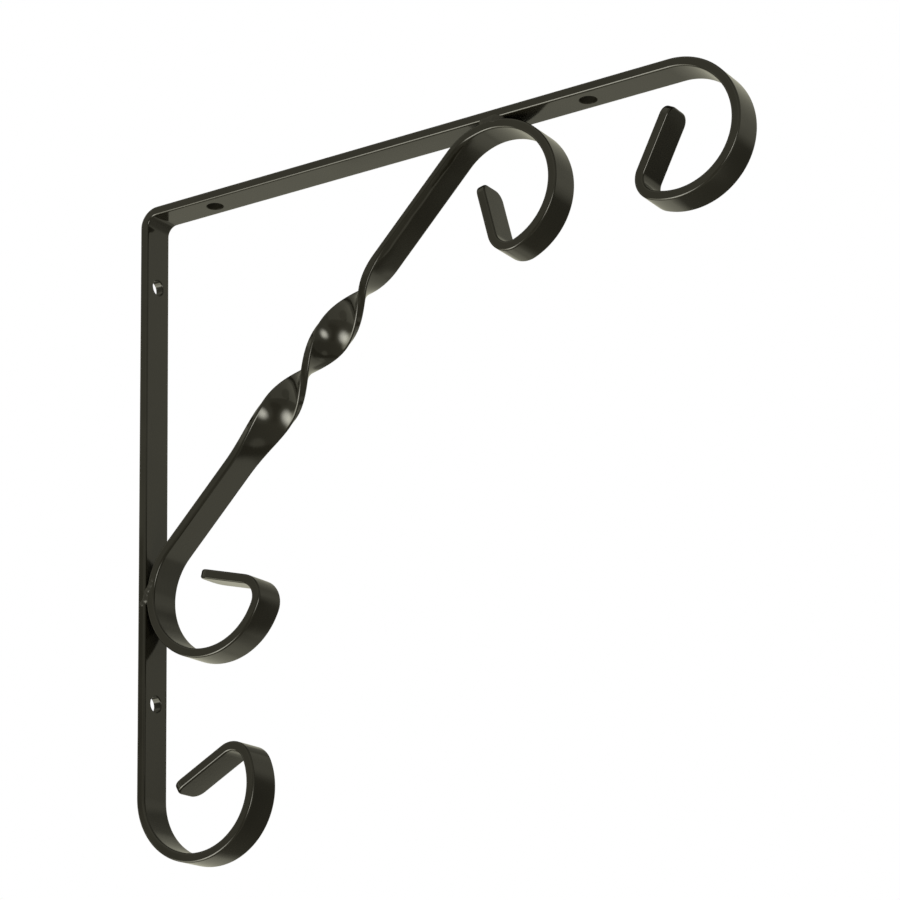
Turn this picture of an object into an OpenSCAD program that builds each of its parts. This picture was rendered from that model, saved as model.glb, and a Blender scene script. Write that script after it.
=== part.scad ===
// Scrolled wall bracket for a shelf, made of two flat steel bars.
// The wall arm and the shelf arm are one bar, bent square at the top and rolled into
// a scroll at each end. The brace is a second bar, twisted once round in its middle
// and rolled into a scroll at each end. Its scrolls are welded to the arms' faces.
//
// X runs out from the wall, Z runs up and Y runs across the bars' width.
// The origin is the outer corner, where the wall's plane meets the shelf's underside,
// at mid-width.

/* [Flat bar] */
// Width of both bars
bar_w = 13.4; // [11:0.1:20]
// Thickness of both bars
bar_t = 3.4; // [2:0.1:4]
// Radius of the eased long edges
edge_r = 0.8; // [0.2:0.1:0.9]
// Radius that rounds the two corners at each cut end
end_r = 4; // [1:0.5:5]

/* [Arms] */
// Distance from the wall to the outermost point of the shelf arm's scroll
shelf_reach = 250; // [230:1:400]
// Distance from the shelf down to the lowest point of the wall arm's scroll
wall_reach = 250; // [230:1:400]
// Inside radius of the square bend at the top
corner_r = 4; // [3:0.5:10]

/* [Arm scrolls] */
// Radius of the arms' scrolls, to the middle of the bar
arm_scroll_r = 23.8; // [20:0.1:28]
// How far the arms' scrolls turn, in degrees
arm_scroll_turn = 202; // [180:1:225]
// Radius of the tight curl that follows, to the middle of the bar
curl_r = 7; // [5:0.5:9]
// How far the arms' tight curls turn, in degrees
arm_curl_turn = 96; // [60:1:110]
// Length of the straight tail after the curl
arm_tail = 24.5; // [12:0.5:26]

/* [Brace] */
// Distance from the wall to the centre of the brace's upper scroll
brace_out = 154; // [130:1:165]
// Distance from the shelf's plane down to the centre of the brace's lower scroll
brace_down = 152; // [130:1:165]
// Gap that the weld fills between the brace and each arm
weld_gap = 0.4; // [0.3:0.1:1]
// Radius of the brace's scrolls, to the middle of the bar
brace_scroll_r = 24; // [20:0.1:28]
// How far the brace's upper scroll turns, in degrees
upper_scroll_turn = 204; // [180:1:220]
// How far the brace's lower scroll turns, in degrees
lower_scroll_turn = 202; // [180:1:220]
// How far the brace's tight curls turn, in degrees
brace_curl_turn = 98; // [60:1:110]
// Length of the straight tail after each of the brace's curls
brace_tail = 21; // [12:0.5:24]

/* [Twist] */
// Distance along the brace from the lower scroll to the start of the twist
twist_start = 38; // [20:1:45]
// Length of bar over which the brace turns once round
twist_len = 92; // [75:1:100]
// Length over which the twist starts, at its lower end
twist_lead_in = 30; // [5:1:35]
// Length over which the twist fades out, at its upper end
twist_lead_out = 13; // [5:1:35]

/* [Screw holes] */
// Diameter of the four screw holes
hole_d = 6; // [4:0.5:7]
// Distance from the outer corner to the first hole in each arm
hole_first = 30; // [20:1:50]
// Distance between the two holes in each arm
hole_pitch = 160; // [120:1:165]

/* [Welds] */
// Length of each weld along the arm
weld_len = 7; // [5:0.5:12]
// Width of each weld bead across the joint
weld_w = 4.6; // [3.6:0.2:6]
// Depth that each weld reaches in from the bars' side faces
weld_depth = 3; // [2:0.5:5]
// Height of the upper beads over the bars' side faces
upper_crown = 0.2; // [0.1:0.1:1]
// Height of the lower beads over the bars' side faces
lower_crown = 0.6; // [0.1:0.1:1]
// Number of ripples in each bead
weld_ripples = 4; // [2:1:6]

/* [Hidden] */

$fn = 128;
paint = [0.16, 0.16, 0.14];
full_turn = 360;
quarter = full_turn / 4;

// Flats that ease each long edge, and slices along the twist
edge_flats = 2;
twist_slices = 80;

// How far a bend's turn may move to make its ends meet exactly, in degrees
turn_slack = 0.2;

// How far a stretch reaches into its neighbours, so that they stay one piece at any size
seam_lap = 0.001;

// Middle of the bar at the square bend, and the plain lengths of the two arms
corner_mid_r = corner_r + bar_t / 2;
corner_leg = corner_mid_r + bar_t / 2;
shelf_run = shelf_reach - corner_leg - arm_scroll_r - bar_t / 2;
wall_run = wall_reach - corner_leg - arm_scroll_r - bar_t / 2;

// Centres of the brace's scrolls, as [x, z]
seat = bar_t + weld_gap + bar_t / 2 + brace_scroll_r;
upper_centre = [brace_out, -seat];
lower_centre = [seat, -brace_down];

// The brace's straight stretch runs beside the line that joins those centres
rise = upper_centre - lower_centre;
brace_pitch = atan2(rise[1], rise[0]);
brace_run = norm(rise);
brace_foot = lower_centre + brace_scroll_r * [-sin(brace_pitch), cos(brace_pitch)];
upper_plain = brace_run - twist_start - twist_len;

// Section of the bar: width along the first axis, thickness along the second
section = [
    for (corner = [0 : 3], k = [0 : edge_flats])
        let (a = quarter * (corner + k / edge_flats), middle = quarter * (corner + 1 / 2))
        [sign(cos(middle)) * (bar_w / 2 - edge_r) + edge_r * cos(a),
         sign(sin(middle)) * (bar_t / 2 - edge_r) + edge_r * sin(a)]
];

// Share of the full turn reached at a distance along the twist. Its rate rises evenly over
// the lead in, holds steady, and falls evenly over the lead out.
twist_rate = 1 / (twist_len - twist_lead_in / 2 - twist_lead_out / 2);
function turned(s) =
    s < twist_lead_in ? twist_rate * s * s / (2 * twist_lead_in)
    : s > twist_len - twist_lead_out
        ? 1 - twist_rate * pow(twist_len - s, 2) / (2 * twist_lead_out)
    : twist_rate * (s - twist_lead_in / 2);

// A straight stretch of bar along +X from the origin
module straight(length) {
    rotate([90, 0, 90]) linear_extrude(length) polygon(section);
}

// A bent stretch that starts along +X. It bends towards +Z, or towards -Z when turn is
// negative. Whole quarters are revolved, and the last one is cut off by a block that
// stands just past the start of the next stretch.
module bend(r, turn) {
    quarters = ceil(abs(turn) / quarter);
    past = r + bar_w;
    cut = abs(turn) + seam_lap / r * full_turn / (2 * PI);
    mirror([0, 0, turn < 0 ? 1 : 0]) translate([0, 0, r]) difference() {
        rotate([0, 90, -90])
            rotate_extrude(angle = quarter * quarters) translate([r, 0]) rotate(90) polygon(section);
        if (cut < quarter * quarters)
            rotate([0, -cut, 0]) translate([0, -bar_w, -past]) cube([past, 2 * bar_w, past]);
    }
}

// A straight stretch that reaches into both of its neighbours
module joining(length) {
    translate([-seam_lap, 0, 0]) straight(length + 2 * seam_lap);
}

// A straight stretch whose last two corners are rounded
module tip(length) {
    difference() {
        translate([-seam_lap, 0, 0]) straight(length + seam_lap);
        for (side = [-1, 1])
            translate([length, side * bar_w / 2, 0])
                mirror([0, side > 0 ? 1 : 0, 0]) corner_cutter();
    }
}

// What is cut from a corner at [0, 0] to round it, seen from above
module corner_cutter() {
    difference() {
        translate([-end_r, -end_r, -bar_t]) cube([2 * end_r, 2 * end_r, 2 * bar_t]);
        translate([-end_r, end_r, -2 * bar_t]) cylinder(r = end_r, h = 4 * bar_t);
    }
}

// The stretch of bar that turns once round its own middle line
module twisted() {
    n = len(section);
    slices = [
        for (i = [0 : twist_slices])
            let (s = twist_len * i / twist_slices, a = full_turn * turned(s))
            [for (p = section) [s, p[0] * cos(a) + p[1] * sin(a), p[1] * cos(a) - p[0] * sin(a)]]
    ];
    sides = [
        for (i = [0 : twist_slices - 1], k = [0 : n - 1])
            let (a = i * n + k, b = i * n + (k + 1) % n)
            each [[a, a + n, b], [b, a + n, b + n]]
    ];
    first_end = [for (k = [0 : n - 1]) k];
    last_end = [for (k = [n - 1 : -1 : 0]) twist_slices * n + k];
    polyhedron([for (slice = slices) each slice], concat(sides, [first_end, last_end]));
}

// Each bend's turn is taken to the one within turn_slack whose sine and cosine, written with
// six digits, lie nearest the unit circle. The stretch after the bend then keeps its exact
// size as it is placed, and the two meet face to face.
function six_digits(x) =
    let (place = x == 0 ? 1 : pow(10, floor(log(abs(x))) - 5)) round(x / place) * place;
function misfit(turn) = abs(norm([six_digits(cos(turn)), six_digits(sin(turn))]) - 1);
function meeting(turn) =
    let (near = [for (slack = [-turn_slack : turn_slack / 400 : turn_slack]) turn + slack],
         misfits = [for (t = near) misfit(t)])
    near[search(min(misfits), misfits)[0]];

// Lays stretches end to end. Each is ["straight", length], ["bend", radius, turn],
// ["twist"] or ["tip", length].
module lay(stretches, i = 0) {
    if (i < len(stretches)) {
        kind = stretches[i][0];
        size = stretches[i][1];
        if (kind == "straight") {
            joining(size);
            translate([size, 0, 0]) lay(stretches, i + 1);
        } else if (kind == "bend") {
            turn = meeting(stretches[i][2]);
            bend(size, turn);
            centre = [0, 0, sign(turn) * size];
            translate(centre) rotate([0, -turn, 0]) translate(-centre) lay(stretches, i + 1);
        } else if (kind == "twist") {
            twisted();
            translate([twist_len, 0, 0]) lay(stretches, i + 1);
        } else {
            tip(size);
        }
    }
}

// The scroll at an arm's end: a wide turn, a tight curl and a straight tail. The side is 1
// to roll towards +Z and -1 to roll towards -Z.
function arm_scroll(side) = [
    ["bend", arm_scroll_r, side * arm_scroll_turn],
    ["bend", curl_r, side * arm_curl_turn],
    ["tip", arm_tail]
];

// The scroll at an end of the brace
function brace_scroll(side, scroll_turn) = [
    ["bend", brace_scroll_r, side * scroll_turn],
    ["bend", curl_r, side * brace_curl_turn],
    ["tip", brace_tail]
];

// A screw hole along +Z, through a bar whose middle is at the origin
module screw_hole() {
    translate([0, 0, -bar_t]) cylinder(d = hole_d, h = 2 * bar_t);
}

// Wall arm and shelf arm in one bar
module angle_bar() {
    color(paint) difference() {
        translate([bar_t / 2, 0, -corner_leg]) {
            rotate([0, 90, 0]) lay(concat([["straight", wall_run]], arm_scroll(1)));
            rotate([0, -90, 0])
                lay(concat([["bend", corner_mid_r, -90], ["straight", shelf_run]], arm_scroll(-1)));
        }
        for (from_corner = [hole_first, hole_first + hole_pitch]) {
            translate([from_corner, 0, -bar_t / 2]) screw_hole();
            translate([bar_t / 2, 0, -from_corner]) rotate([0, 90, 0]) screw_hole();
        }
    }
}

// Twisted brace with a scroll at each end
module brace_bar() {
    color(paint) translate([brace_foot[0], 0, brace_foot[1]]) rotate([0, -brace_pitch, 0]) {
        lay(concat([["straight", twist_start], ["twist"], ["straight", upper_plain]],
                   brace_scroll(-1, upper_scroll_turn)));
        rotate([0, 180, 0]) lay(brace_scroll(1, lower_scroll_turn));
    }
}

// The two bars where they meet, for the welds to be cut to. The arm's face is at z = 0
// above the joint, and the brace's scroll stands the weld gap below it.
module joint_bars() {
    translate([-weld_len, 0, bar_t / 2]) straight(2 * weld_len);
    translate([0, 0, -seat + bar_t]) rotate([90, 0, 0]) scroll_ring();
}

// A whole ring of the brace's bar, round +Z
module scroll_ring() {
    rotate_extrude() translate([brace_scroll_r, 0]) rotate(90) polygon(section);
}

// One weld bead on the -Y side of a joint. Its ripples stand over the bars' side faces
// and its root fills the gap between the bars.
module weld_bead(crown) {
    ripple_r = (pow(weld_w / 2, 2) + pow(crown, 2)) / (2 * crown);
    reach = weld_len / 2;
    step = (weld_len - weld_w) / (weld_ripples - 1);
    difference() {
        union() {
            intersection() {
                for (i = [0 : weld_ripples - 1])
                    translate([-reach + weld_w / 2 + i * step, ripple_r - crown - bar_w / 2,
                               -weld_gap / 2])
                        sphere(r = ripple_r);
                translate([-weld_len, -bar_w / 2 - 2 * crown, -weld_w])
                    cube([2 * weld_len, 2 * crown, 2 * weld_w]);
            }
            translate([-reach + weld_w / 4, -bar_w / 2, -weld_w / 4 - weld_gap])
                cube([weld_len - weld_w / 2, weld_depth, weld_w / 4 + weld_gap + edge_r]);
        }
        joint_bars();
    }
}

// Places a child from the joint's own axes at the brace's upper or lower seat
module at_upper_seat() {
    translate([upper_centre[0], 0, -bar_t]) children();
}

module at_lower_seat() {
    translate([bar_t, 0, lower_centre[1]]) rotate([0, -90, 0]) children();
}

module upper_weld_near() {
    color(paint) at_upper_seat() weld_bead(upper_crown);
}

module upper_weld_far() {
    color(paint) mirror([0, 1, 0]) at_upper_seat() weld_bead(upper_crown);
}

module lower_weld_near() {
    color(paint) at_lower_seat() weld_bead(lower_crown);
}

module lower_weld_far() {
    color(paint) mirror([0, 1, 0]) at_lower_seat() weld_bead(lower_crown);
}

angle_bar();
brace_bar();
upper_weld_near();
upper_weld_far();
lower_weld_near();
lower_weld_far();
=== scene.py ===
# %% [markdown]
# # A scrolled shelf bracket
# The real bracket is two flat steel bars. One is bent square into the wall arm and the shelf
# arm and rolled into a scroll at each end. The other is the brace, twisted once round and
# welded between the arms. The whole thing is dipped or sprayed in glossy black enamel.
# The frame file holds its measured solids. They could be painted as they are, but their edges
# are too plain for a close look. So this lesson lays smoother bars over them, paints them and
# lights them.

import math

import bmesh
import bpy
from mathutils import Matrix, Quaternion, Vector


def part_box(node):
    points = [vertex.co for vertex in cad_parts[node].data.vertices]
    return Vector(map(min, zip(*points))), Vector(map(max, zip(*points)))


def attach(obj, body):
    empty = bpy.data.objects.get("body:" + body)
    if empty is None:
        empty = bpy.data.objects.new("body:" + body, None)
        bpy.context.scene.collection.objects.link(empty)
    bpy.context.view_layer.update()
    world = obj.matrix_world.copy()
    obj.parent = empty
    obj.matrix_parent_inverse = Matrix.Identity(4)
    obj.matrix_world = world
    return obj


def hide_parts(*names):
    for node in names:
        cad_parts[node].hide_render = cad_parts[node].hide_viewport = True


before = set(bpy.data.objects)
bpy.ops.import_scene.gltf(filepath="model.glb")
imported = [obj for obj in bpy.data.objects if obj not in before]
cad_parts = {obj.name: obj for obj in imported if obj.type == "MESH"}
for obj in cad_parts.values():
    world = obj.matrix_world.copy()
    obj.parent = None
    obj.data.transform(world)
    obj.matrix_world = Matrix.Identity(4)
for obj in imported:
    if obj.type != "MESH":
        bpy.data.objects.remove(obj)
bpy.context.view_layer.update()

# %% [markdown]
# ## The camera
# The photographer stood to the right of the bracket and a little below it, so the undersides
# of the shelf arm and the scrolls show. A camera can be set by eye, but its distance decides
# how much the far scrolls shrink, so this one is worked out from where the bracket's outline
# falls in the picture. It comes first because it gives each later choice its view.

# %% The camera's place and lens
MM = 0.001
IMAGE_SIDE = 900
SENSOR = 36.0
camera_turn = math.radians(31.437)
camera_rise = math.radians(-17.96)
camera_roll = math.radians(-1.675)
camera_distance = 939.492 * MM
camera_target = Vector((129.936 * MM, 0, -118.862 * MM))
focal_pixels = 2736.043

back = Vector((math.sin(camera_turn) * math.cos(camera_rise),
               -math.cos(camera_turn) * math.cos(camera_rise),
               math.sin(camera_rise)))
right = Vector((math.cos(camera_turn), math.sin(camera_turn), 0))
up = back.cross(right)
rolled_right = right * math.cos(camera_roll) + up * math.sin(camera_roll)
rolled_up = up * math.cos(camera_roll) - right * math.sin(camera_roll)
print("camera looks along", tuple(-back))


# %% Camera
def placed(name, data):
    """A new object in the scene that holds a mesh, a lamp or a camera."""
    made = bpy.data.objects.new(name, data)
    bpy.context.scene.collection.objects.link(made)
    return made


camera = placed("photo_camera", bpy.data.cameras.new("photo_camera"))
camera.matrix_world = Matrix((
    (rolled_right.x, rolled_up.x, back.x, 0),
    (rolled_right.y, rolled_up.y, back.y, 0),
    (rolled_right.z, rolled_up.z, back.z, 0),
    (0, 0, 0, 1)))
camera.location = camera_target + back * camera_distance
camera.data.sensor_width = SENSOR
camera.data.lens = focal_pixels * SENSOR / IMAGE_SIDE
camera.data.clip_start, camera.data.clip_end = 0.01, 20
bpy.context.scene.camera = camera
print("camera at", tuple(camera.location), "lens", camera.data.lens)

# %% [markdown]
# ## The line each bar follows
# A smith makes such a bracket from straight stock: mark it, drill it, then roll it round
# formers. Each bar's middle line is therefore a chain of straights and arcs, all in one plane.
# It could be drawn by hand as a Bezier curve, but a short walk along the chain is exact and
# takes the same sizes as the solids.

# %% Sizes of the stock
BAR_W = 13.4 * MM
BAR_T = 3.4 * MM
END_R = 4 * MM
HOLE_R = 3 * MM

# How far the rounding of an edge reaches across the face and down the side.
BAR_EASE = (0.8 * MM, 0.8 * MM)
HOLE_EASE = (0.35 * MM, 0.35 * MM)
print("stock", round(BAR_W / MM, 2), "by", round(BAR_T / MM, 2), "mm")

# %% Walk along a chain of straights and arcs
ARC_STEP = math.radians(1)
TWIST_STEP = 0.5 * MM


def walk(x, z, heading, stretches):
    """Rows of x, z, heading and twist along the stretches, which start at x, z."""
    rows, twist = [(x, z, heading, 0.0)], 0.0
    for kind, size, change in stretches:
        if kind == "bend":
            side = math.copysign(1, change)
            middle_x = x - side * size * math.sin(heading)
            middle_z = z + side * size * math.cos(heading)
            count = math.ceil(abs(change) / ARC_STEP)
            start = heading
            for i in range(1, count + 1):
                heading = start + change * i / count
                x = middle_x + side * size * math.sin(heading)
                z = middle_z - side * size * math.cos(heading)
                rows.append((x, z, heading, twist))
        else:
            count = math.ceil(size / TWIST_STEP) if kind == "twist" else 1
            x0, z0, twist0 = x, z, twist
            for i in range(1, count + 1):
                along = size * i / count
                x = x0 + along * math.cos(heading)
                z = z0 + along * math.sin(heading)
                twist = twist0 + (2 * math.pi * change(along) if kind == "twist" else 0)
                rows.append((x, z, heading, twist))
    return rows


def join(backwards, forwards):
    """One chain that runs the first one backwards to the start they share, then the second."""
    half_turn = forwards[0][2] - backwards[0][2]
    return [(x, z, h + half_turn, t) for x, z, h, t in reversed(backwards)] + forwards[1:]


def length_of(line):
    return sum(math.dist(a[:2], b[:2]) for a, b in zip(line, line[1:]))


# %% The angle bar's line
arm_reach = 250 * MM
inside_corner_r = 4 * MM
corner_r = inside_corner_r + BAR_T / 2
corner_leg = corner_r + BAR_T / 2
arm_scroll_r, curl_r, arm_tail = 23.8 * MM, 7 * MM, 24.5 * MM
arm_scroll_turn, arm_curl_turn = math.radians(202.149), math.radians(95.896)
arm_run = arm_reach - corner_leg - arm_scroll_r - BAR_T / 2


def arm_scroll(side):
    """A wide turn, a tight curl and a straight tail, to the left for 1 or the right for -1."""
    return [("bend", arm_scroll_r, side * arm_scroll_turn),
            ("bend", curl_r, side * arm_curl_turn),
            ("straight", arm_tail, 0)]


wall_chain = walk(BAR_T / 2, -corner_leg, math.radians(-90),
                  [("straight", arm_run, 0)] + arm_scroll(1))
shelf_chain = walk(BAR_T / 2, -corner_leg, math.radians(90),
                   [("bend", corner_r, math.radians(-90)), ("straight", arm_run, 0)]
                   + arm_scroll(-1))
angle_line = join(wall_chain, shelf_chain)
print("angle bar:", len(angle_line), "rows,", round(length_of(angle_line) / MM, 1), "mm")

# %% The brace's line
brace_scroll_r, brace_tail = 24 * MM, 21 * MM
upper_turn, lower_turn, brace_curl = (math.radians(a) for a in (203.821, 202.149, 98.021))
weld_gap = 0.4 * MM
touch_on_shelf, touch_on_wall = 154 * MM, 152 * MM
seat = BAR_T + weld_gap + BAR_T / 2 + brace_scroll_r
upper_centre = Vector((touch_on_shelf, -seat))
lower_centre = Vector((seat, -touch_on_wall))
rise = upper_centre - lower_centre
brace_pitch = math.atan2(rise.y, rise.x)
foot = lower_centre + brace_scroll_r * Vector((-math.sin(brace_pitch), math.cos(brace_pitch)))
twist_start, twist_len, lead_in, lead_out = (s * MM for s in (38, 92, 30, 13))
twist_rate = 1 / (twist_len - lead_in / 2 - lead_out / 2)


def turned(along):
    """Share of the full turn reached at a distance along the twist."""
    if along < lead_in:
        return twist_rate * along ** 2 / (2 * lead_in)
    if along > twist_len - lead_out:
        return 1 - twist_rate * (twist_len - along) ** 2 / (2 * lead_out)
    return twist_rate * (along - lead_in / 2)


def brace_scroll(turn, curl):
    return [("bend", brace_scroll_r, turn), ("bend", curl_r, curl), ("straight", brace_tail, 0)]


lower_chain = walk(foot.x, foot.y, brace_pitch + math.pi, brace_scroll(lower_turn, brace_curl))
upper_chain = walk(foot.x, foot.y, brace_pitch,
                   [("straight", twist_start, 0), ("twist", twist_len, turned),
                    ("straight", rise.length - twist_start - twist_len, 0)]
                   + brace_scroll(-upper_turn, -brace_curl))
brace_line = join(lower_chain, upper_chain)
print("brace:", len(brace_line), "rows, pitch", math.degrees(brace_pitch))

# %% [markdown]
# ## The stock
# Before it is rolled, each bar is a flat strip with rounded ends, rolled edges and drilled
# holes. Beveling a boolean would tangle round the holes, so the strip is built as a sheet
# of quads with rings of quads round each hole, and then given its thickness by a profile
# that runs round every rim. Columns of quads stand closer together where the bar will bend.

# %% Profile that rounds a rim
ARC_SIDES = 8
SUPPORT = 0.15 * MM
SIDE_PARTS = 5
TINY = 1e-9


def rim_profile(across, down):
    """Steps outwards and heights down a rim, from the upper face's edge to the lower's."""
    half = BAR_T / 2
    arc = [(across * math.sin(a), half - down + down * math.cos(a))
           for a in (math.pi / 2 * i / ARC_SIDES for i in range(1, ARC_SIDES + 1))]
    upper = arc + [(across, half - down - SUPPORT), (across, half / SIDE_PARTS)]
    return upper + [(across, 0)] + [(out, -height) for out, height in reversed(upper)]


print("points down a bar's side:", len(rim_profile(*BAR_EASE)))

# %% Columns of the strip
COLUMN_STEP = 1 * MM
BEND_STEP = 0.6 * MM
END_COLUMNS = 9
ROWS = [-1, -0.975, -0.9, -0.8, -0.7, -0.55, -0.3, 0, 0.3, 0.55, 0.7, 0.8, 0.9, 0.975, 1]


def strip_columns(line, length, flat_half, holes):
    """Places along the strip where a column of quads stands, each with its half width. Spans
    say where each step of the line starts, and whether the bar bends or twists there."""
    inner_r = END_R - BAR_W / 2 + flat_half
    corner = [(END_R - inner_r * math.cos(a), BAR_W / 2 - END_R + inner_r * math.sin(a))
              for a in (math.pi / 2 * i / END_COLUMNS for i in range(END_COLUMNS + 1))]
    spans, at = [], 0.0
    for a, b in zip(line, line[1:]):
        spans.append((at, a[2:] != b[2:]))
        at += math.dist(a[:2], b[:2])
    plain, s, k = [], END_R, 0
    while s < length - END_R:
        while k < len(spans) - 1 and spans[k + 1][0] <= s:
            k += 1
        s += BEND_STEP if spans[k][1] else COLUMN_STEP
        if (s < length - END_R - COLUMN_STEP / 2
                and all(abs(s - hole) > flat_half + COLUMN_STEP / 3 for hole in holes)):
            plain.append((s, flat_half))
    plain += [(hole + side * flat_half, flat_half) for hole in holes for side in (-1, 1)]
    return corner + sorted(plain) + [(length - s, w) for s, w in reversed(corner)]


# %% Quads and rims
def quad(bm, side, a, b, c, d):
    """A quad that faces up for side 1 and down for side -1."""
    bm.faces.new((a, b, c, d) if side > 0 else (d, c, b, a))


def skin_rim(bm, upper, lower, outwards, ease, dull=0.0):
    """Joins the upper and lower loops of a rim. The loops run with the metal on their left."""
    in_dull_hole = bm.faces.layers.float["in_dull_hole"]
    profile = rim_profile(*ease)
    rings = []
    for top, bottom, (ox, oy) in zip(upper, lower, outwards):
        ring = [top]
        for out, height in profile[:-1]:
            ring.append(bm.verts.new((top.co.x + ox * out, top.co.y + oy * out, height)))
        rings.append(ring + [bottom])
    for ring, after in zip(rings, rings[1:] + rings[:1]):
        for k in range(len(ring) - 1):
            face = bm.faces.new((ring[k], ring[k + 1], after[k + 1], after[k]))
            face[in_dull_hole] = dull


# %% Rings of quads round a hole
HOLE_RINGS = 5
HOLE_CELLS = 10
HOLE_RIM_R = HOLE_R + HOLE_EASE[0]


def ring_hole(bm, side, hole, left, right, flat_half):
    """Fills the square between two columns, round a hole. Gives the points that it adds
    along the square's low and high edges, and the loop at the hole's rim. The last ring but
    one lies close to the rim, so that the face shades flat up to it."""
    z = side * BAR_T / 2
    low, high = [left[0]], [left[-1]]
    for c in range(1, HOLE_CELLS):
        s = hole - flat_half + 2 * flat_half * c / HOLE_CELLS
        low.append(bm.verts.new((s, -flat_half, z)))
        high.append(bm.verts.new((s, flat_half, z)))
    square = low + right + high[:0:-1] + left[:0:-1]
    rings = [square]
    for k in range(HOLE_RINGS - 1, -1, -1):
        ring = []
        for v in square:
            dx, dy = v.co.x - hole, v.co.y
            far = math.hypot(dx, dy)
            r = HOLE_RIM_R + (SUPPORT if k == 1 else (far - HOLE_RIM_R) * (k / HOLE_RINGS))
            ring.append(bm.verts.new((hole + dx / far * r, dy / far * r, z)))
        rings.append(ring)
    for outer, inner in zip(rings, rings[1:]):
        for k in range(len(outer)):
            n = (k + 1) % len(outer)
            quad(bm, side, outer[k], outer[n], inner[n], inner[k])
    return low[1:], high[1:], rings[-1]


# %% The strip's outer rim
def outer_loop(sheet, added):
    """The loop round a face, anticlockwise seen from above. A hole adds points after the
    column on its left, along the low edge and the high one."""
    low, high = [], []
    for i, column in enumerate(sheet):
        more_low, more_high = added.get(i, ([], []))
        low += [column[0]] + more_low
        high += [column[-1]] + more_high
    return low + sheet[-1][1:-1] + high[::-1] + sheet[0][-2:0:-1]


def off_edge(v, length):
    """The direction straight out over the strip's outer rim, from a point of its loop."""
    reach = min(v.co.x, length - v.co.x)
    at_end = -1 if v.co.x < length / 2 else 1
    if reach >= END_R - TINY:
        return 0, math.copysign(1, v.co.y)
    dx, dy = at_end * (END_R - reach), abs(v.co.y) - (BAR_W / 2 - END_R)
    if dy <= TINY:
        return at_end, 0
    size = math.hypot(dx, dy)
    return dx / size, math.copysign(dy / size, v.co.y)


# %% Strip of stock
def strip(name, line, ease, holes=(), dull_holes=()):
    """A strip as long as the line, along X, with its width along Y."""
    length = length_of(line)
    flat_half = BAR_W / 2 - ease[0]
    bm = bmesh.new()
    bm.faces.layers.float.new("in_dull_hole")
    columns = strip_columns(line, length, flat_half, holes)
    sheets = {side: [[bm.verts.new((s, w * row, side * BAR_T / 2)) for row in ROWS]
                     for s, w in columns] for side in (1, -1)}
    hole_starts = [next(i for i, c in enumerate(columns)
                        if abs(c[0] - (hole - flat_half)) < TINY) for hole in holes]
    for side, sheet in sheets.items():
        for i, (here, there) in enumerate(zip(sheet, sheet[1:])):
            if i not in hole_starts:
                for a, b, c, d in zip(here, there, there[1:], here[1:]):
                    quad(bm, side, a, b, c, d)

    added = {side: {} for side in sheets}
    for hole, i in zip(holes, hole_starts):
        loops = {}
        for side, sheet in sheets.items():
            low, high, loops[side] = ring_hole(bm, side, hole, sheet[i], sheet[i + 1], flat_half)
            added[side][i] = (low, high)
        upper, lower = loops[1][::-1], loops[-1][::-1]
        into_hole = [((hole - v.co.x) / HOLE_RIM_R, -v.co.y / HOLE_RIM_R) for v in upper]
        skin_rim(bm, upper, lower, into_hole, HOLE_EASE, float(hole in dull_holes))

    upper, lower = (outer_loop(sheets[side], added[side]) for side in (1, -1))
    skin_rim(bm, upper, lower, [off_edge(v, length) for v in upper], ease)
    mesh = bpy.data.meshes.new(name)
    bm.to_mesh(mesh)
    bm.free()
    mesh.shade_smooth()
    print(name, round(length / MM, 2), "mm,", len(mesh.polygons), "faces")
    return placed(name, mesh)


# %% [markdown]
# ## Rolling the stock
# Geometry Nodes roll the strip along its line, as the smith rolls it round a former. The
# line is a chain of edges whose points know their heading and twist. For each point of
# the strip, the tree finds the place on the line that lies as far along, and sets the
# point's offset there, turned by the twist and then by the heading. A Curve modifier could
# bend the strip too, but it stretches in tight curls and has no full turn of twist.

# %% Helpers for node trees
def node(tree, kind, inputs=None, **settings):
    """A node with its settings and inputs. An input is a value, or a socket to link from."""
    made = tree.nodes.new(kind)
    for key, value in settings.items():
        setattr(made, key, value)
    for key, value in (inputs or {}).items():
        socket = made.inputs[key]
        if isinstance(value, bpy.types.NodeSocket):
            tree.links.new(value, socket)
        else:
            socket.default_value = value
    return made


def tree_input(tree, name, kind, default=None):
    socket = tree.interface.new_socket(name, in_out="INPUT", socket_type=kind)
    if default is not None:
        socket.default_value = default


# %% What the rolling tree is given
rolling = bpy.data.node_groups.new("roll_along_line", "GeometryNodeTree")
tree_input(rolling, "Strip", "NodeSocketGeometry")
tree_input(rolling, "Line", "NodeSocketObject")
for name, size in (("Ripple height", 0.03 * MM), ("Ripple length", 12 * MM),
                   ("Corner wear", 0.0), ("Corner width", 3.6 * MM), ("Corner depth", 1.6 * MM),
                   ("Worn from", 0.0), ("Worn to", 0.0), ("Waver", 8 * MM)):
    tree_input(rolling, name, "NodeSocketFloat", size)
tree_input(rolling, "Finish", "NodeSocketMaterial")
tree_input(rolling, "Hole finish", "NodeSocketMaterial")
rolling.interface.new_socket("Bar", in_out="OUTPUT", socket_type="NodeSocketGeometry")
roll_in = node(rolling, "NodeGroupInput").outputs
print("rolling tree takes", [socket.name for socket in roll_in if socket.name])

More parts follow.
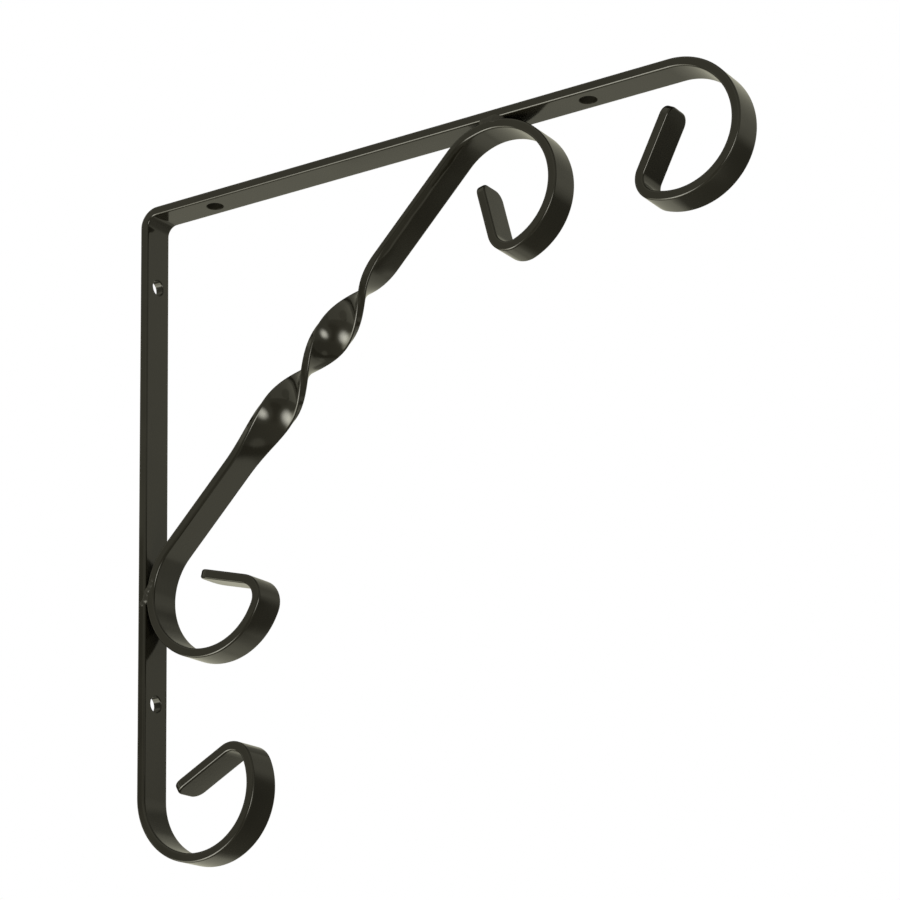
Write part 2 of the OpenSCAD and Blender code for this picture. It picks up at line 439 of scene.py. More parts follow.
# %% Each point's place on the line
line_mesh = node(rolling, "GeometryNodeObjectInfo", {"Object": roll_in["Line"]})
line_curve = node(rolling, "GeometryNodeMeshToCurve", {"Mesh": line_mesh.outputs["Geometry"]})
lay = node(rolling, "GeometryNodeInputNamedAttribute", {"Name": "heading_twist"},
           data_type="FLOAT_VECTOR")
position = node(rolling, "GeometryNodeInputPosition").outputs[0]
on_strip = node(rolling, "ShaderNodeSeparateXYZ", {"Vector": position}).outputs
found = node(rolling, "GeometryNodeSampleCurve",
             {"Curves": line_curve.outputs[0], "Value": lay.outputs["Attribute"],
              "Length": on_strip["X"]},
             data_type="FLOAT_VECTOR", mode="LENGTH")
turns = node(rolling, "ShaderNodeSeparateXYZ", {"Vector": found.outputs["Value"]}).outputs
heading_there, twist_there = turns["X"], turns["Y"]


# %% Sums inside the rolling tree
def maths(operation, *values):
    """The result of a Math node."""
    return node(rolling, "ShaderNodeMath", dict(enumerate(values)),
                operation=operation).outputs[0]


def ramp(value, low, high):
    """0 up to a low value, 1 from a high one, and smooth between."""
    return node(rolling, "ShaderNodeMapRange",
                {"Value": value, "From Min": low, "From Max": high},
                interpolation_type="SMOOTHSTEP").outputs["Result"]


def noise(size, detail):
    """A soft noise, from about 0 to 1, with lumps of a size."""
    return node(rolling, "ShaderNodeTexNoise",
                {"Vector": position, "Scale": maths("DIVIDE", 1.0, size),
                 "Detail": detail}).outputs[0]


def turned_about(vector, axis, angle):
    """A vector turned backwards about an axis."""
    rotation = node(rolling, "FunctionNodeAxisAngleToRotation",
                    {"Axis": axis, "Angle": maths("MULTIPLY", angle, -1.0)})
    return node(rolling, "FunctionNodeRotateVector",
                {"Vector": vector, "Rotation": rotation.outputs[0]}).outputs[0]


# %% [markdown]
# ## Hand work on the bars
# Real bars are not as flat as drawn ones. Their faces ripple by a few hundredths of a
# millimetre, which no outline shows, but the mirror images in the gloss wander with it. Above
# the twist the brace's lower corner on the viewer's side is rubbed rounder than the others,
# and it catches a broad line of light. Both could be sculpted, or faked by bump in the paint.
# The tree moves the points instead, so that the shape itself is right from every side, and
# each size stays an input that can be changed.

# %% Ripple of the faces
ripple = maths("MULTIPLY", maths("SUBTRACT", noise(roll_in["Ripple length"], 1.0), 0.5),
               roll_in["Ripple height"])
rippled_height = maths("ADD", on_strip["Z"], ripple)

# %% Worn corner
ENDS_OVER = 6 * MM
LEAST_WORN, WAVER_ADDS = 0.6, 0.8
COSINE_TWISTED, COSINE_FLAT = 0.8, 1.0


def into_corner(across, half, reach):
    """0 to 1 over the last reach before an edge at -half."""
    past = maths("SUBTRACT", maths("MULTIPLY", across, -1.0), maths("SUBTRACT", half, reach))
    return node(rolling, "ShaderNodeClamp", {0: maths("DIVIDE", past, reach)}).outputs[0]


def moved_back(share, reach, other):
    """How far a point of a square corner moves back to lie on a round one."""
    other_squared = maths("MULTIPLY", other, other)
    squeezed = maths("SQRT", maths("SUBTRACT", 1.0, maths("MULTIPLY", other_squared, 0.5)))
    return maths("MULTIPLY", maths("MULTIPLY", share, reach), maths("SUBTRACT", 1.0, squeezed))


uneven = maths("ADD", LEAST_WORN, maths("MULTIPLY", noise(roll_in["Waver"], 2.0), WAVER_ADDS))
worn = maths("MULTIPLY", roll_in["Corner wear"], uneven)
for factor in (
        ramp(maths("SUBTRACT", on_strip["X"], roll_in["Worn from"]), -ENDS_OVER, ENDS_OVER),
        ramp(maths("SUBTRACT", roll_in["Worn to"], on_strip["X"]), -ENDS_OVER, ENDS_OVER),
        ramp(maths("COSINE", twist_there), COSINE_TWISTED, COSINE_FLAT)):
    worn = maths("MULTIPLY", worn, factor)
over = into_corner(on_strip["Y"], BAR_W / 2, roll_in["Corner width"])
down = into_corner(on_strip["Z"], BAR_T / 2, roll_in["Corner depth"])
back_y = maths("MULTIPLY", worn, moved_back(over, roll_in["Corner width"], down))
back_z = maths("MULTIPLY", worn, moved_back(down, roll_in["Corner depth"], over))

# %% Set the points there and paint the bar
offset = node(rolling, "ShaderNodeCombineXYZ",
              {"X": 0.0, "Y": maths("ADD", on_strip["Y"], back_y),
               "Z": maths("ADD", rippled_height, back_z)})
twisted = turned_about(offset.outputs[0], (1, 0, 0), twist_there)
headed = turned_about(twisted, (0, 1, 0), heading_there)
laid = node(rolling, "ShaderNodeVectorMath", {0: found.outputs["Position"], 1: headed},
            operation="ADD")
rolled = node(rolling, "GeometryNodeSetPosition",
              {"Geometry": roll_in["Strip"], "Position": laid.outputs[0]})
real_bar = node(rolling, "GeometryNodeRealizeInstances", {"Geometry": rolled.outputs[0]})
bar_painted = node(rolling, "GeometryNodeSetMaterial",
                   {"Geometry": real_bar.outputs[0], "Material": roll_in["Finish"]})
in_hole = node(rolling, "GeometryNodeInputNamedAttribute", {"Name": "in_dull_hole"},
               data_type="FLOAT")
holes_painted = node(rolling, "GeometryNodeSetMaterial",
                     {"Geometry": bar_painted.outputs[0],
                      "Selection": in_hole.outputs["Attribute"],
                      "Material": roll_in["Hole finish"]})
node(rolling, "NodeGroupOutput", {"Bar": holes_painted.outputs[0]})
print("rolling tree:", len(rolling.nodes), "nodes")


# %% Helpers that run a tree and keep its result
def line_object(name, line):
    """A chain of edges whose points know their heading and twist."""
    mesh = bpy.data.meshes.new(name)
    mesh.from_pydata([(x, 0, z) for x, z, _, _ in line],
                     [(i, i + 1) for i in range(len(line) - 1)], [])
    lay_values = mesh.attributes.new("heading_twist", "FLOAT_VECTOR", "POINT")
    lay_values.data.foreach_set("vector", [c for _, _, h, t in line for c in (h, t, 0)])
    return placed(name, mesh)


def grown(name, source, tree, values):
    """The plain mesh that a tree makes of an object, in an object of its own."""
    modifier = source.modifiers.new("tree", "NODES")
    modifier.node_group = tree
    for item in tree.interface.items_tree:
        if item.name in values and item.in_out == "INPUT":
            modifier[item.identifier] = values[item.name]
    bpy.context.view_layer.update()
    evaluated = source.evaluated_get(bpy.context.evaluated_depsgraph_get())
    mesh = bpy.data.meshes.new_from_object(evaluated)
    source.modifiers.remove(modifier)
    bpy.data.objects.remove(source)
    mesh.name = name
    print(name, len(mesh.polygons), "faces")
    return placed(name, mesh)


def compare(name, piece):
    """Prints the boxes of a solid and of the piece that takes its place, in mm."""
    low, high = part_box(name)
    corners = [Vector(c) for c in piece.bound_box]
    print(name, "solid", [round(c / MM, 2) for c in (*low, *high)], "piece",
          [round(f(c[i] for c in corners) / MM, 2) for f in (min, max) for i in range(3)])


# %% [markdown]
# ## Black enamel
# The paint is a glossy black with a warm, faintly olive tone. Sprayed enamel never lies quite
# flat: it has the fine dimples that painters call orange peel, and its gloss and depth vary a
# little from place to place. A photographed texture could show that, but it would stretch in
# the curls and the twist. So the dimples and the clouds are noise in the object's own space,
# in one node group that every finish shares.
# There are three finishes. The bars are glossy. The drops of the welds are duller, as paint
# gathers between them. The insides of the shelf arm's two holes get a weak, rough gloss, so
# they mirror almost nothing and stay dark, while those in the wall arm gleam like the bar. The
# strip's faces carry that choice as an attribute, in_dull_hole, and the rolling tree paints by
# it.

# %% Paint's skin, shared by all finishes
CLOUDS_PER_M = 60.0
CLOUD_LOW, CLOUD_HIGH = 0.35, 0.65
DEEP_BLACK = (0.0082, 0.0074, 0.0047, 1)
THIN_BLACK = (0.0104, 0.0094, 0.0062, 1)

skin = bpy.data.node_groups.new("enamel_skin", "ShaderNodeTree")
for name, size in (("Peel size", 1.2 * MM), ("Peel depth", 0.006 * MM),
                   ("Low roughness", 0.10), ("High roughness", 0.15)):
    tree_input(skin, name, "NodeSocketFloat", size)
for name, kind in (("Colour", "NodeSocketColor"), ("Roughness", "NodeSocketFloat"),
                   ("Normal", "NodeSocketVector")):
    skin.interface.new_socket(name, in_out="OUTPUT", socket_type=kind)
skin_in = node(skin, "NodeGroupInput").outputs
where = node(skin, "ShaderNodeTexCoord").outputs["Object"]
peel_scale = node(skin, "ShaderNodeMath", {0: 1.0, 1: skin_in["Peel size"]}, operation="DIVIDE")
peel = node(skin, "ShaderNodeTexNoise",
            {"Vector": where, "Scale": peel_scale.outputs[0], "Detail": 1.0})
cloud = node(skin, "ShaderNodeTexNoise", {"Vector": where, "Scale": CLOUDS_PER_M, "Detail": 2.0})
rough = node(skin, "ShaderNodeMapRange",
             {"Value": cloud.outputs[0], "From Min": CLOUD_LOW, "From Max": CLOUD_HIGH,
              "To Min": skin_in["Low roughness"], "To Max": skin_in["High roughness"]})
tint = node(skin, "ShaderNodeValToRGB", {"Fac": cloud.outputs[0]})
for stop, position_on_ramp, colour in zip(tint.color_ramp.elements, (CLOUD_LOW, CLOUD_HIGH),
                                          (DEEP_BLACK, THIN_BLACK)):
    stop.position, stop.color = position_on_ramp, colour
bumps = node(skin, "ShaderNodeBump",
             {"Strength": 1.0, "Distance": skin_in["Peel depth"], "Height": peel.outputs[0]})
node(skin, "NodeGroupOutput", {"Colour": tint.outputs[0], "Roughness": rough.outputs[0],
                               "Normal": bumps.outputs[0]})
print("enamel skin:", len(skin.nodes), "nodes")


# %% Three finishes
def empty_tree(owner):
    """The node tree of a material, world or lamp, with nothing in it."""
    owner.use_nodes = True
    owner.node_tree.nodes.clear()
    return owner.node_tree


def enamel(name, specular=0.5, **values):
    """A paint with the shared skin. Values are the skin's inputs, in small letters."""
    material = bpy.data.materials.new(name)
    tree = empty_tree(material)
    coat = node(tree, "ShaderNodeGroup", node_tree=skin)
    for key, value in values.items():
        coat.inputs[key.replace("_", " ").capitalize()].default_value = value
    shader = node(tree, "ShaderNodeBsdfPrincipled",
                  {"Base Color": coat.outputs["Colour"], "Roughness": coat.outputs["Roughness"],
                   "Normal": coat.outputs["Normal"], "IOR": 1.5, "Specular IOR Level": specular})
    node(tree, "ShaderNodeOutputMaterial", {"Surface": shader.outputs[0]})
    print(name, {socket.name: round(socket.default_value, 6) for socket in coat.inputs})
    return material


bar_enamel = enamel("bar_enamel")
# a weak, rough gloss: the shelf arm's hole walls mirror almost nothing and stay dark
hole_enamel = enamel("hole_enamel", specular=0.08, low_roughness=0.3, high_roughness=0.4)
weld_enamel = enamel("weld_enamel", peel_size=0.8 * MM, peel_depth=0.004 * MM,
                     low_roughness=0.40, high_roughness=0.50)

# %% [markdown]
# ## The two bars
# All is ready for the smith: stock, line, tree and paint. The angle bar has four screw holes,
# two in each arm at the same distances from the corner. They are measured along the bar, as
# they are drilled before the bends are made. The brace has none, and its upper straight is
# where its corner is worn.

# %% Places of the holes
FIRST_HOLE, HOLE_PITCH = 30 * MM, 160 * MM


def hole_places(first, pitch):
    """Distances along the angle bar of its four holes, the wall arm's two first."""
    before = length_of(wall_chain[1:])
    bend = sum(math.dist(a[:2], b[:2]) for a, b in zip(shelf_chain, shelf_chain[1:])
               if abs(a[2] - b[2]) > TINY and b[0] <= corner_leg + TINY)
    up_wall = before + arm_run + corner_leg
    along_shelf = before + arm_run + bend - corner_leg
    return [up_wall - first - pitch, up_wall - first, along_shelf + first,
            along_shelf + first + pitch]


angle_holes = hole_places(FIRST_HOLE, HOLE_PITCH)
print("holes at", [round(hole / MM, 1) for hole in angle_holes], "mm along the angle bar")

# %% Roll the bars
WORN_PAST_STRAIGHT = 8 * MM
to_foot = length_of(lower_chain)
brace_wear = {"Corner wear": 1.0, "Worn from": to_foot + twist_start + twist_len,
              "Worn to": to_foot + rise.length + WORN_PAST_STRAIGHT}
for name, line, holes, wear in (("angle_bar", angle_line, angle_holes, {}),
                                ("brace_bar", brace_line, [], brace_wear)):
    guide = line_object(name + "_line", line)
    stock = strip(name + "_strip", line, BAR_EASE, holes, dull_holes=holes[2:])
    piece = grown(name + "_rolled", stock, rolling,
                  {"Line": guide, "Finish": bar_enamel, "Hole finish": hole_enamel, **wear})
    bpy.data.objects.remove(guide)
    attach(piece, "root")
    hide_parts(name)
    compare(name, piece)

# %% [markdown]
# ## The welds
# A weld is a row of drops of steel that froze as the torch moved on, each half over the last.
# The tree sets drops along a seam, a little apart and a little uneven, flattened against the
# bars' sides. It then fills them as one cloud of small cells and skins it, which melts the
# drops into each other as steel does. A boolean of spheres would leave hard creases.
# The cloud leaves some crumbs, closed specks of a few faces. The tree counts the faces of
# each separate part of the skin and deletes the small ones, so that each weld is one solid.

# %% What the weld tree is given
bead = bpy.data.node_groups.new("weld_drops", "GeometryNodeTree")
tree_input(bead, "Path", "NodeSocketGeometry")
for name, size in (("Drop radius", 1.6 * MM), ("Drop height", 0.8 * MM), ("Drop step", 0.7 * MM),
                   ("Scatter", 0.15 * MM), ("Cell", 0.16 * MM)):
    tree_input(bead, name, "NodeSocketFloat", size)
tree_input(bead, "Seed", "NodeSocketInt", 1)
tree_input(bead, "Finish", "NodeSocketMaterial")
bead.interface.new_socket("Weld", in_out="OUTPUT", socket_type="NodeSocketGeometry")
bead_in = node(bead, "NodeGroupInput").outputs
print("weld tree takes", [socket.name for socket in bead_in if socket.name])

# %% Drops along the seam
STRAY_LOW, STRAY_HIGH = (-1, -0.3, -1), (1, 0.3, 1)
SMALLEST, LARGEST = 0.94, 1.06
DROP_SPLITS = 4

seam = node(bead, "GeometryNodeMeshToCurve", {"Mesh": bead_in["Path"]})
stops = node(bead, "GeometryNodeResampleCurve",
             {"Curve": seam.outputs[0], "Length": bead_in["Drop step"]}, mode="LENGTH")
stray = node(bead, "FunctionNodeRandomValue",
             {"Min": STRAY_LOW, "Max": STRAY_HIGH, "Seed": bead_in["Seed"]},
             data_type="FLOAT_VECTOR")
stray_by = node(bead, "ShaderNodeVectorMath",
                {0: stray.outputs[0], "Scale": bead_in["Scatter"]}, operation="SCALE")
strayed = node(bead, "GeometryNodeSetPosition",
               {"Geometry": stops.outputs[0], "Offset": stray_by.outputs[0]})
swell = node(bead, "FunctionNodeRandomValue",
             {"Min": SMALLEST, "Max": LARGEST, "Seed": bead_in["Seed"]})
flattened = node(bead, "ShaderNodeCombineXYZ",
                 {"X": bead_in["Drop radius"], "Y": bead_in["Drop height"],
                  "Z": bead_in["Drop radius"]})
drop_size = node(bead, "ShaderNodeVectorMath",
                 {0: flattened.outputs[0], "Scale": swell.outputs[1]}, operation="SCALE")
drop = node(bead, "GeometryNodeMeshIcoSphere", {"Radius": 1.0, "Subdivisions": DROP_SPLITS})
drops = node(bead, "GeometryNodeInstanceOnPoints",
             {"Points": strayed.outputs[0], "Instance": drop.outputs[0],
              "Scale": drop_size.outputs[0]})
loose_drops = node(bead, "GeometryNodeRealizeInstances", {"Geometry": drops.outputs[0]})

# %% Melt the drops together
CLOUD_DEPTH = 1 * MM
SKIN_AT = 0.1
CRUMB_FACES = 200
EVENING_ROUNDS = 8

cells = node(bead, "GeometryNodeMeshToVolume",
             {"Mesh": loose_drops.outputs[0], "Voxel Size": bead_in["Cell"],
              "Interior Band Width": CLOUD_DEPTH},
             resolution_mode="VOXEL_SIZE")
skinned = node(bead, "GeometryNodeVolumeToMesh",
               {"Volume": cells.outputs[0], "Voxel Size": bead_in["Cell"],
                "Threshold": SKIN_AT},
               resolution_mode="VOXEL_SIZE")
island = node(bead, "GeometryNodeInputMeshIsland").outputs["Island Index"]
faces_in_island = node(bead, "GeometryNodeAccumulateField", {"Value": 1, "Group ID": island},
                       data_type="INT", domain="FACE").outputs["Total"]
crumb = node(bead, "FunctionNodeCompare", {"A": faces_in_island, "B": CRUMB_FACES},
             data_type="INT", operation="LESS_THAN")
whole = node(bead, "GeometryNodeDeleteGeometry",
             {"Geometry": skinned.outputs[0], "Selection": crumb.outputs[0]}, domain="FACE")
even = node(bead, "GeometryNodeBlurAttribute",
            {"Value": node(bead, "GeometryNodeInputPosition").outputs[0],
             "Iterations": EVENING_ROUNDS},
            data_type="FLOAT_VECTOR")
evened = node(bead, "GeometryNodeSetPosition",
              {"Geometry": whole.outputs[0], "Position": even.outputs[0]})
smooth = node(bead, "GeometryNodeSetShadeSmooth", {"Geometry": evened.outputs[0]})
real_weld = node(bead, "GeometryNodeRealizeInstances", {"Geometry": smooth.outputs[0]})
weld_painted = node(bead, "GeometryNodeSetMaterial",
                    {"Geometry": real_weld.outputs[0], "Material": bead_in["Finish"]})
node(bead, "NodeGroupOutput", {"Weld": weld_painted.outputs[0]})
print("weld tree:", len(bead.nodes), "nodes")

# %% Lay the welds
SIDE = BAR_W / 2 / MM
SUNK = 1.5
upper_seam = [(151.2, -3.7), (152.6, -3.5), (154, -3.5), (155.4, -3.5), (156.8, -3.7)]
lower_near_seam = [(1.8, -153.8), (3.3, -152.2), (4.2, -149.9), (5.3, -147.9), (6.2, -146.2)]
lower_far_seam = [(3.6, -155.0), (3.6, -153.0), (3.6, -151.0), (3.6, -149.0)]


def seam_object(name, points):
    """A chain of edges through points in mm."""
    mesh = bpy.data.meshes.new(name)
    mesh.from_pydata([Vector(p) * MM for p in points],
                     [(i, i + 1) for i in range(len(points) - 1)], [])
    return placed(name, mesh)


for name, side, line, values in (
        ("upper_weld_near", -1, upper_seam,
         {"Drop radius": 2.6 * MM, "Drop height": 1.78 * MM}),
        ("upper_weld_far", 1, upper_seam,
         {"Drop radius": 2.6 * MM, "Drop height": 1.78 * MM, "Seed": 2}),
        ("lower_weld_near", -1, lower_near_seam,
         {"Drop radius": 1.7 * MM, "Drop height": 1.95 * MM, "Scatter": 0.45 * MM, "Seed": 4}),
        ("lower_weld_far", 1, lower_far_seam,
         {"Drop radius": 1.9 * MM, "Drop height": 1.85 * MM, "Seed": 3})):
    points = [(x, side * (SIDE - SUNK), z) for x, z in line]
    piece = grown(name + "_bead", seam_object(name + "_seam", points), bead,
                  {**values, "Finish": weld_enamel})
    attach(piece, "root")
    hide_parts(name)
    compare(name, piece)

# %% [markdown]
# ## The studio
# Glossy black shows little of its own colour. What the eye reads is the room in it: a pale
# board in front, from the left to past the middle, with a slanting lower edge, two umbrellas
# low in front, the paper behind and dim walls between. That room could be built from walls
# and furniture, but only its mirror images matter here, and each is judged by direction alone.
# So the world is plain white, behind the bracket and for metal that mirrors it. As all that
# white would turn black enamel grey, and a photographer sets grey cards round a black object,
# a big glowing dome stands round this one, with the studio's reflections painted on it. It is
# no lamp: only glossy rays meet it, so what it shows is painted reflection.

# %% Plain white world
SOFT_LIGHT, WHITE = 0.6, 1.0
world = bpy.data.worlds.new("studio")
bpy.context.scene.world = world
world_tree = empty_tree(world)
ray = node(world_tree, "ShaderNodeLightPath").outputs
seen = node(world_tree, "ShaderNodeMath", {0: ray["Is Camera Ray"], 1: ray["Is Glossy Ray"]},
            operation="MAXIMUM")
seen = node(world_tree, "ShaderNodeMath", {0: seen.outputs[0], 1: ray["Is Transmission Ray"]},
            operation="MAXIMUM")
soft_light, white = (
    node(world_tree, "ShaderNodeBackground", {"Color": (1, 1, 1, 1), "Strength": strength})
    for strength in (SOFT_LIGHT, WHITE))
mixed = node(world_tree, "ShaderNodeMixShader",
             {0: seen.outputs[0], 1: soft_light.outputs[0], 2: white.outputs[0]})
node(world_tree, "ShaderNodeOutputWorld", {"Surface": mixed.outputs[0]})
print("white world, which lights the bracket at", SOFT_LIGHT)

# %% Dome of painted reflections
DOME_R = 10.0
DOME_SPLITS = 4
ROOM_TINT = (1.0, 0.98, 0.77, 1)


def only_mirrored(thing):
    """Hides a thing from every ray but those that glossy surfaces send."""
    thing.visible_camera = thing.visible_diffuse = thing.visible_shadow = False
    thing.visible_transmission = thing.visible_volume_scatter = False


dome_mesh = bpy.data.meshes.new("dome")
bm = bmesh.new()
bmesh.ops.create_icosphere(bm, subdivisions=DOME_SPLITS, radius=DOME_R)
bmesh.ops.reverse_faces(bm, faces=bm.faces)
bm.to_mesh(dome_mesh)
bm.free()
dome = placed("dome", dome_mesh)
only_mirrored(dome)
# The dome glows but is no lamp: its paint is the studio's reflections, painted by direction.
painted_reflections = bpy.data.materials.new("painted_reflections")
dome_mesh.materials.append(painted_reflections)
dome_tree = empty_tree(painted_reflections)
outlook = node(dome_tree, "ShaderNodeVectorMath",
               {0: node(dome_tree, "ShaderNodeTexCoord").outputs["Object"]},
               operation="NORMALIZE").outputs[0]
print("dome", DOME_R, "m round,", len(dome_mesh.polygons), "faces")


# %% Shapes to paint on the dome
def towards(azimuth, elevation):
    """A direction from the bracket. Azimuth 0 is -Y, towards the viewer, and 90 is +X."""
    a, e = math.radians(azimuth), math.radians(elevation)
    return Vector((math.sin(a) * math.cos(e), -math.cos(a) * math.cos(e), math.sin(e)))


def disc(direction, full, none):
    """1 up to the angle full from a direction, changing smoothly to 0 at the angle none."""
    facing = node(dome_tree, "ShaderNodeVectorMath", {0: outlook, 1: direction},
                  operation="DOT_PRODUCT")
    return node(dome_tree, "ShaderNodeMapRange",
                {"Value": facing.outputs["Value"],
                 "From Min": math.cos(math.radians(none)),
                 "From Max": math.cos(math.radians(full))},
                interpolation_type="SMOOTHSTEP").outputs[0]


def edge_through(one, other, soft):
    """The disc that covers half the dome, with its edge through two directions."""
    return towards(*one).cross(towards(*other)).normalized(), 90 - soft, 90 + soft


def painted(under, level, *shapes):
    """What is under, with a patch of a level where all the shapes overlap."""
    mask = disc(*shapes[0])
    for shape in shapes[1:]:
        mask = node(dome_tree, "ShaderNodeMath", {0: mask, 1: disc(*shape)},
                    operation="MULTIPLY").outputs[0]
    return node(dome_tree, "ShaderNodeMix",
                {"Factor": mask, "A": under, "B": level}).outputs["Result"]


# %% Paint the reflections on the dome
DIM_WALLS = 0.27
board = (edge_through((-50, -0.5), (18, 15.5), 2), edge_through((-74, 60), (-74, -60), 5),
         edge_through((28, -60), (28, 60), 3))
outside_paper = (towards(-179, 3), 38, 34)
room = DIM_WALLS
for level, *shapes in (
        # the room in front, and a lighter part on its left
        (0.36, (towards(0, -5), 40, 75)),
        (0.43, (towards(-50, -8), 12, 25)),
        # the board, and the brighter part of it
        (0.68, *board),
        (0.82, *board, (towards(-58, 15), 15, 38)),
        # the paper behind, what stands beside it and two spots on the ground
        (0.50, (towards(-178, 3), 42, 48)),
        (0.68, (towards(160, -35), 4, 10)),
        (0.60, (towards(-168, -37), 4, 10)),
        (0.45, (towards(143, 25), 22, 28)),
        (0.64, (towards(-143, -8), 22, 28)),
        (0.64, (towards(-178, 2), 31, 35)),
        # small patches that single bends mirror
        (0.56, (towards(138.5, 17), 6, 10)),
        (0.33, (towards(-36, 9.5), 5, 8)),
        # the dark above the paper
        (0.24, outside_paper, (towards(172, 46), 20, 30)),
        (0.13, outside_paper, (towards(-158, 42), 18, 28)),
        # painted glows on the ground and the sides, where the umbrellas shine
        (0.40, (towards(156, -51), 6, 14)),
        (0.20, (towards(26, -26), 22, 36)),
        (0.62, (towards(-22, -44), 20, 36)),
        (0.50, (towards(58, -16), 18, 32)),
        (0.50, (towards(-31, 23), 13, 18)),
        # a painted highlight, which lights the bars' lower near edges in their reflections
        (3.0, (towards(-62, -50), 17, 30)),
        (0.62, (towards(131, -48), 5, 12)),
        (0.50, (towards(70, 18), 28, 46))):
    room = painted(room, level, *shapes)
glow = node(dome_tree, "ShaderNodeEmission", {"Color": ROOM_TINT, "Strength": room})
node(dome_tree, "ShaderNodeOutputMaterial", {"Surface": glow.outputs[0]})
painted_reflections.cycles.emission_sampling = "NONE"
print("dome painted with", len(dome_tree.nodes), "nodes")

# %% [markdown]
# ## Cards close by
# The dome is far off, so each part of it looks alike from all over the bracket. Where one
# arm mirrors something dark and the other doesn't, the dark thing stands close. So painted
# dark reflections stand close too: a black card behind much of the bracket, a grey one behind
# the wall arm, and a narrow one beside the wall arm on the viewer's side. Each glows dimly,
# is no lamp, and only glossy rays meet it. The bars could carry those darks in their paint,
# but then they would stay put when the view turns, and mirror images move. Each card is a
# flat outline with a ring inset round it, and it fades out across that ring, so no hard edge
# shows.

# %% Cards of painted dark reflection
def stand_reflection_card(name, level, place_y, fade, outline):
    """A painted dark reflection: a card that glows at a level across Y, seen only by glossy
    rays, with its outline in x and z, all in mm.
    """
    mesh = bpy.data.meshes.new(name)
    bm = bmesh.new()
    cover = bm.verts.layers.float.new("cover")
    sheet = bm.faces.new([bm.verts.new((x * MM, place_y * MM, z * MM)) for x, z in outline])
    bm.normal_update()
    bmesh.ops.inset_region(bm, faces=[sheet], thickness=fade * MM,
                           use_boundary=True, use_even_offset=True)
    for v in bm.verts:
        v[cover] = 0.0 if v.is_boundary else 1.0
    bm.to_mesh(mesh)
    bm.free()
    card = placed(name, mesh)
    only_mirrored(card)
    paint = bpy.data.materials.new(name + "_paint")
    mesh.materials.append(paint)
    tree = empty_tree(paint)
    # painted dark reflection: a dim glow that only glossy rays see
    dim = node(tree, "ShaderNodeEmission", {"Color": ROOM_TINT, "Strength": level})
    share = node(tree, "ShaderNodeAttribute", attribute_name="cover").outputs["Fac"]
    bare = node(tree, "ShaderNodeBsdfTransparent")
    faded = node(tree, "ShaderNodeMixShader", {0: share, 1: bare.outputs[0], 2: dim.outputs[0]})
    node(tree, "ShaderNodeOutputMaterial", {"Surface": faded.outputs[0]})
    paint.cycles.emission_sampling = "NONE"
    print(name, len(mesh.polygons), "faces, covers in full",
          sum(d.value > 0.5 for d in mesh.attributes["cover"].data), "points")


stand_reflection_card("black_card", level=0.12, place_y=122, fade=24,
           outline=[(190, -15), (358, -15), (358, -86), (268, -158), (170, -264), (160, -434),
                    (-134, -434), (-134, -322), (-25, -322), (66, -258), (143, -141),
                    (146, -96), (190, -55)])
stand_reflection_card("grey_card", level=0.25, place_y=121, fade=12,
           outline=[(3, -70), (78, -75), (86, -188), (3, -188)])
stand_reflection_card("side_card", level=0.22, place_y=-53, fade=4,
           outline=[(-52, -110), (-31, -110), (-31, -225), (-52, -225)])

# %% [markdown]
# ## Umbrellas
# Each hollow of the twist shows two soft round lights, one large and one narrower. They are
# a photographer's umbrellas, brightest in the middle where the flash hits the cloth. Spots
# painted on the dome would show as well, but lamps also give the bracket its true light from
# the front. A flat round lamp does both. Its own nodes fade it towards the rim.

# %% Two umbrellas
UMBRELLA_FAR = 4.0
UMBRELLA_TINT = (1.0, 0.985, 0.86, 1)
UMBRELLA_RIM, UMBRELLA_CORE = 0.5, 0.04
LAMP_CENTRE = (0.5, 0.5, 0)
BRACKET_MIDDLE = Vector((0.12, 0, -0.12))


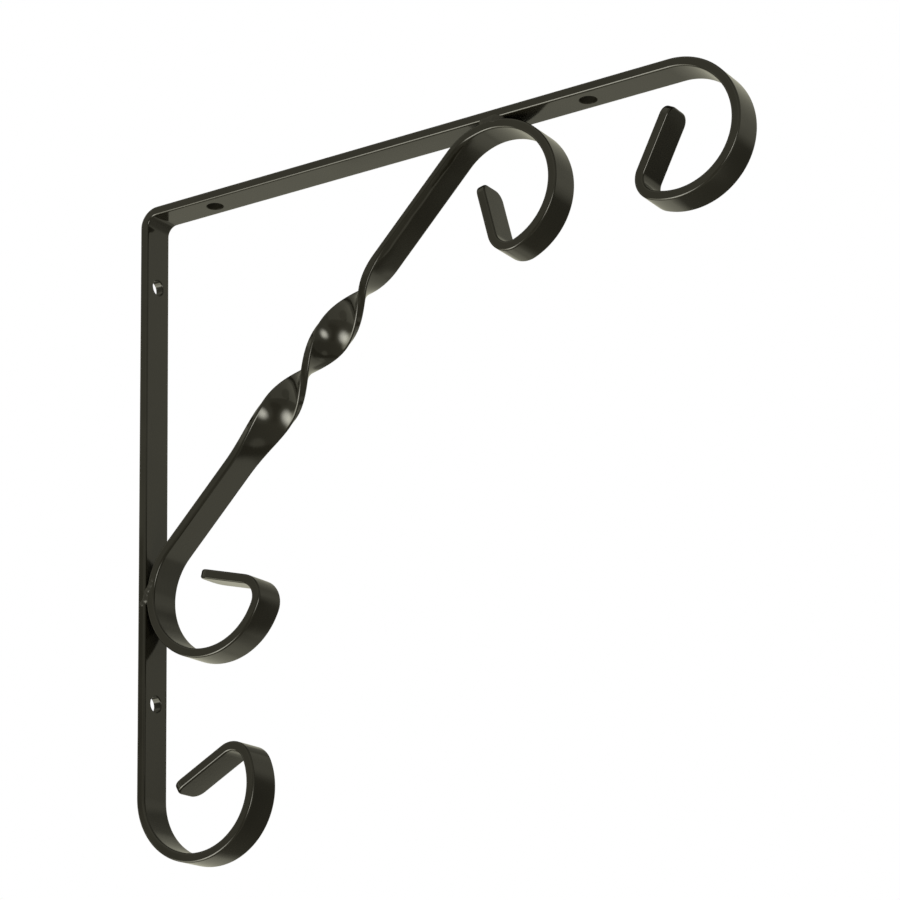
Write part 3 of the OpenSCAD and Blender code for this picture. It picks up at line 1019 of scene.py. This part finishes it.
def umbrella(name, direction, wide, high, tilt, brightness):
    """A round soft light, brightest in its middle. Its width and height are angles. Its power
    is its brightness times pi and the area of its ellipse."""
    lamp = bpy.data.lights.new(name, "AREA")
    lamp.shape = "ELLIPSE"
    lamp.size, lamp.size_y = (2 * UMBRELLA_FAR * math.tan(math.radians(a)) for a in (wide, high))
    lamp.energy = brightness * math.pi * math.pi / 4 * lamp.size * lamp.size_y
    tree = empty_tree(lamp)
    spot = node(tree, "ShaderNodeNewGeometry").outputs["Parametric"]
    out = node(tree, "ShaderNodeVectorMath", {0: spot, 1: LAMP_CENTRE}, operation="DISTANCE")
    fading = node(tree, "ShaderNodeMapRange",
                  {"Value": out.outputs["Value"],
                   "From Min": UMBRELLA_RIM, "From Max": UMBRELLA_CORE},
                  interpolation_type="SMOOTHSTEP")
    glowing = node(tree, "ShaderNodeEmission",
                   {"Color": UMBRELLA_TINT, "Strength": fading.outputs[0]})
    node(tree, "ShaderNodeOutputLight", {"Surface": glowing.outputs[0]})
    holder = placed(name, lamp)
    holder.location = BRACKET_MIDDLE + direction * UMBRELLA_FAR
    holder.rotation_euler = (direction.to_track_quat("Z", "Y")
                             @ Quaternion((0, 0, 1), math.radians(tilt))).to_euler()
    holder.visible_camera = False
    print(name, "power", round(lamp.energy, 1), "W")


umbrella("left_umbrella", towards(-23.8, -43), wide=26, high=26, tilt=0, brightness=9.5)
umbrella("right_umbrella", towards(59.5, -16.5), wide=17, high=23, tilt=-15, brightness=9.5)

# %% [markdown]
# ## Floor
# The photograph has no floor: the bracket hangs before white paper. A pale floor far below
# takes its soft shadow and gives other views something to stand on. A shadow catcher would
# work only in a composite, so this is plain card that glows a little. It is left out of
# mirror images, and clear from below, so the photograph's own view stays white.

# %% Pale floor
FLOOR_Z = -0.8
FLOOR_REACH = 3.0
FLOOR_GREY = (0.8, 0.8, 0.8, 1)
FLOOR_GLOW = 0.4

floor_mesh = bpy.data.meshes.new("floor")
floor_mesh.from_pydata([(x * FLOOR_REACH, y * FLOOR_REACH, FLOOR_Z)
                        for x, y in ((-1, -1), (1, -1), (1, 1), (-1, 1))], [], [(0, 1, 2, 3)])
floor = placed("floor", floor_mesh)
floor.visible_diffuse = floor.visible_glossy = floor.visible_shadow = False
floor_paint = bpy.data.materials.new("floor_paint")
floor_mesh.materials.append(floor_paint)
floor_tree = empty_tree(floor_paint)
pale = node(floor_tree, "ShaderNodeBsdfDiffuse", {"Color": FLOOR_GREY})
lift = node(floor_tree, "ShaderNodeEmission", {"Color": (1, 1, 1, 1), "Strength": FLOOR_GLOW})
lit = node(floor_tree, "ShaderNodeAddShader", {0: pale.outputs[0], 1: lift.outputs[0]})
clear = node(floor_tree, "ShaderNodeBsdfTransparent")
from_below = node(floor_tree, "ShaderNodeNewGeometry").outputs["Backfacing"]
sided = node(floor_tree, "ShaderNodeMixShader",
             {0: from_below, 1: lit.outputs[0], 2: clear.outputs[0]})
node(floor_tree, "ShaderNodeOutputMaterial", {"Surface": sided.outputs[0]})
print("floor at", FLOOR_Z, "m, reaches", FLOOR_REACH, "m each way")

# %% [markdown]
# ## The picture
# Colours render about as they are written only with the Standard view.

# %% Finish
bpy.context.scene.view_settings.view_transform = "Standard"
